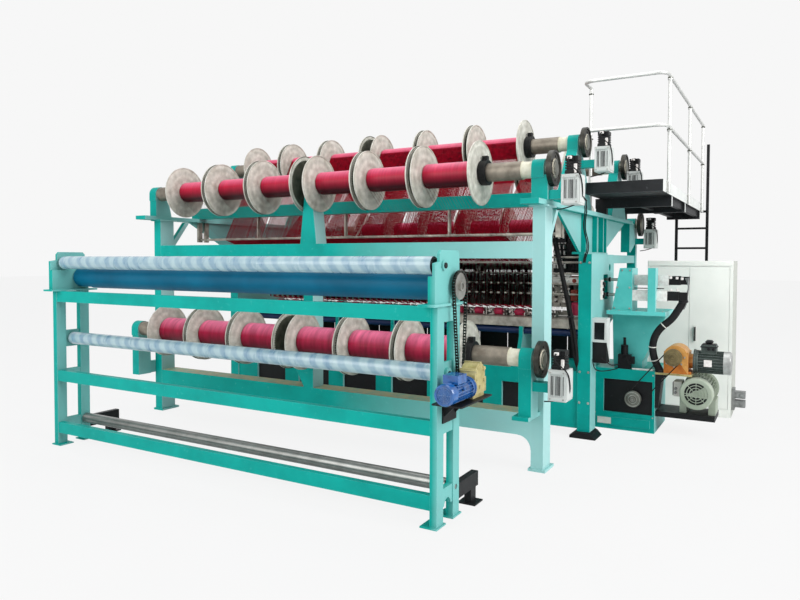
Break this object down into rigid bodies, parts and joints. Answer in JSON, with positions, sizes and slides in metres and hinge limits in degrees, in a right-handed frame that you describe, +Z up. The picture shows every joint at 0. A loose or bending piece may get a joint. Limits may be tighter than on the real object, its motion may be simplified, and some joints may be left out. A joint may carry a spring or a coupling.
{
  "type": "warp knitting machine",
  "caption": "Warp knitting machine with sectional warp beams on side arms, a knitting head, a fabric take-up stand, service platform, drive and cabinet",
  "frame": {"origin": "middle of the machine's footprint, on the floor", "axes": "+X runs along the machine towards the drive end, +Y from the take-up stand to the back, +Z up"},
  "size_m": [5.761, 6.37, 3.407],
  "materials": {
    "teal_enamel": "satin teal machine enamel",
    "black_enamel": "satin black enamel",
    "white_film": "wound white film, slightly cloudy",
    "blue_rubber": "blue rubber covering, slight sheen",
    "grey_steel": "oiled grey steel",
    "chain_steel": "dark oiled steel",
    "blue_enamel": "gloss blue enamel",
    "cream_enamel": "gloss cream enamel",
    "flange_aluminium": "turned aluminium, dull",
    "crimson_yarn": "wound crimson filament yarn, silky",
    "white_enamel": "white powder coat",
    "bright_steel": "bright steel pipe",
    "pulley_iron": "machined grey iron",
    "black_rubber": "black rubber",
    "orange_enamel": "orange enamel",
    "motor_grey": "grey-green enamel",
    "cabinet_grey": "light grey powder coat",
    "handle_chrome": "chrome"
  },
  "bodies": {
    "root": {"stand_frame": "teal_enamel", "roll_cheeks": "teal_enamel", "stand_brackets": "black_enamel", "roller_chain": "chain_steel", "takeup_motor": "blue_enamel", "takeup_gearbox": "cream_enamel", "front_legs": "teal_enamel", "front_cross_beams": "teal_enamel", "yarn_tie_beam": "teal_enamel", "side_arms": "teal_enamel", "side_walls": "teal_enamel", "rear_columns": "teal_enamel", "machine_bed": "teal_enamel", "black_panels": "black_enamel", "levelling_feet": "black_enamel", "beam_pedestals": "teal_enamel", "letoff_gearboxes": "white_enamel", "letoff_servos": "black_enamel", "knitting_rails": "grey_steel", "yarn_sheets": "crimson_yarn", "base_box": "teal_enamel", "v_belt": "black_rubber", "worm_gearbox": "orange_enamel", "drive_motors": "motor_grey", "shog_housing": "teal_enamel", "shog_actuators": "white_enamel", "cable_hose": "black_rubber", "lubrication_unit": "white_enamel", "platform": "black_enamel", "handrail": "bright_steel", "ladder": "black_enamel", "cabinet_body": "cabinet_grey"},
    "press_roll": {"press_roll": "white_film"},
    "takeup": {"takeup_roll": "blue_rubber", "drive_sprocket": "grey_steel"},
    "guide_roll": {"guide_roll": "white_film"},
    "batch_roll": {"batch_roll": "grey_steel"},
    "gearbox_sprocket": {"gearbox_sprocket": "grey_steel"},
    "upper_front_beam": {"upper_front_beam": "flange_aluminium", "upper_front_yarn": "crimson_yarn"},
    "upper_middle_beam": {"upper_middle_beam": "flange_aluminium", "upper_middle_yarn": "crimson_yarn"},
    "upper_rear_beam": {"upper_rear_beam": "flange_aluminium", "upper_rear_yarn": "crimson_yarn"},
    "low_rear_beam": {"low_rear_beam": "flange_aluminium", "low_rear_yarn": "crimson_yarn"},
    "lower_front_beam": {"lower_front_beam": "flange_aluminium", "lower_front_yarn": "crimson_yarn"},
    "swing_frame": {"swing_frame": "grey_steel"},
    "guide_bar_front": {"guide_bar_front": "grey_steel"},
    "guide_bar_rear": {"guide_bar_rear": "grey_steel"},
    "shog_rod_front": {"shog_rod_front": "grey_steel"},
    "shog_rod_rear": {"shog_rod_rear": "grey_steel"},
    "needle_bar": {"needle_bar": "bright_steel"},
    "takedown_roll": {"takedown_roll": "blue_enamel"},
    "main_pulley": {"main_pulley": "pulley_iron"},
    "gearbox_pulley": {"gearbox_pulley": "pulley_iron"},
    "door_left": {"cabinet_door_left": "cabinet_grey"},
    "door_right": {"cabinet_door_right": "cabinet_grey"},
    "cabinet_handle": {"cabinet_handle": "handle_chrome"}
  },
  "joints": [
    {"name": "press_roll_turn", "type": "hinge", "parent": "root", "child": "press_roll", "pos_m": [-0.5005, -2.955, 1.627], "axis": [1, 0, 0], "continuous": true},
    {"name": "takeup_roll_turn", "type": "hinge", "parent": "root", "child": "takeup", "pos_m": [-0.5005, -2.785, 1.495], "axis": [1, 0, 0], "continuous": true},
    {"name": "guide_roll_turn", "type": "hinge", "parent": "root", "child": "guide_roll", "pos_m": [-0.5005, -2.875, 0.945], "axis": [1, 0, 0], "continuous": true},
    {"name": "batch_roll_turn", "type": "hinge", "parent": "root", "child": "batch_roll", "pos_m": [-0.5005, -2.755, 0.192], "axis": [1, 0, 0], "continuous": true},
    {"name": "gearbox_sprocket_turn", "type": "hinge", "parent": "root", "child": "gearbox_sprocket", "pos_m": [1.4545, -2.77, 0.933], "axis": [1, 0, 0], "continuous": true},
    {"name": "upper_front_beam_turn", "type": "hinge", "parent": "root", "child": "upper_front_beam", "pos_m": [-0.5605, -1.525, 2.375], "axis": [1, 0, 0], "continuous": true},
    {"name": "upper_middle_beam_turn", "type": "hinge", "parent": "root", "child": "upper_middle_beam", "pos_m": [-0.5605, -0.305, 2.765], "axis": [1, 0, 0], "continuous": true},
    {"name": "upper_rear_beam_turn", "type": "hinge", "parent": "root", "child": "upper_rear_beam", "pos_m": [-0.5605, 1.045, 2.69], "axis": [1, 0, 0], "continuous": true},
    {"name": "low_rear_beam_turn", "type": "hinge", "parent": "root", "child": "low_rear_beam", "pos_m": [-0.5605, 1.995, 2.1], "axis": [1, 0, 0], "continuous": true},
    {"name": "lower_front_beam_turn", "type": "hinge", "parent": "root", "child": "lower_front_beam", "pos_m": [-0.5605, -1.775, 0.915], "axis": [1, 0, 0], "continuous": true},
    {"name": "swing", "type": "hinge", "parent": "root", "child": "swing_frame", "pos_m": [-0.5605, 0.315, 1.59], "axis": [1, 0, 0], "range_deg": [-4, 4]},
    {"name": "guide_bar_front_shog", "type": "slide", "parent": "swing_frame", "child": "guide_bar_front", "axis": [1, 0, 0], "range_m": [-0.015, 0.015]},
    {"name": "guide_bar_rear_shog", "type": "slide", "parent": "swing_frame", "child": "guide_bar_rear", "axis": [1, 0, 0], "range_m": [-0.015, 0.015]},
    {"name": "shog_rod_front_slide", "type": "slide", "parent": "root", "child": "shog_rod_front", "axis": [1, 0, 0], "range_m": [-0.015, 0.015]},
    {"name": "shog_rod_rear_slide", "type": "slide", "parent": "root", "child": "shog_rod_rear", "axis": [1, 0, 0], "range_m": [-0.015, 0.015]},
    {"name": "needle_bar_lift", "type": "slide", "parent": "root", "child": "needle_bar", "axis": [0, 0, 1], "range_m": [-0.008, 0.01]},
    {"name": "takedown_roll_turn", "type": "hinge", "parent": "root", "child": "takedown_roll", "pos_m": [-0.5605, -0.175, 0.955], "axis": [1, 0, 0], "continuous": true},
    {"name": "main_pulley_turn", "type": "hinge", "parent": "root", "child": "main_pulley", "pos_m": [1.9755, 0.045, 0.326], "axis": [0, 1, 0], "continuous": true},
    {"name": "gearbox_pulley_turn", "type": "hinge", "parent": "root", "child": "gearbox_pulley", "pos_m": [2.3325, 0.045, 0.753], "axis": [0, 1, 0], "continuous": true},
    {"name": "door_left_hinge", "type": "hinge", "parent": "root", "child": "door_left", "pos_m": [1.9375, 1.181, 0.8], "axis": [0, 0, 1], "range_deg": [-110, 0]},
    {"name": "door_right_hinge", "type": "hinge", "parent": "root", "child": "door_right", "pos_m": [2.7095, 1.181, 0.8], "axis": [0, 0, 1], "range_deg": [0, 110]},
    {"name": "cabinet_handle_turn", "type": "hinge", "parent": "door_right", "child": "cabinet_handle", "pos_m": [2.38862, 1.175, 0.917], "axis": [0, 1, 0], "range_deg": [0, 90]}
  ],
  "couplings": [
    {"joint": "gearbox_sprocket_turn", "follows": "takeup_roll_turn", "ratio": 2.2143},
    {"joint": "shog_rod_front_slide", "follows": "guide_bar_front_shog", "ratio": 1},
    {"joint": "shog_rod_rear_slide", "follows": "guide_bar_rear_shog", "ratio": 1},
    {"joint": "gearbox_pulley_turn", "follows": "main_pulley_turn", "ratio": 0.95652}
  ]
}
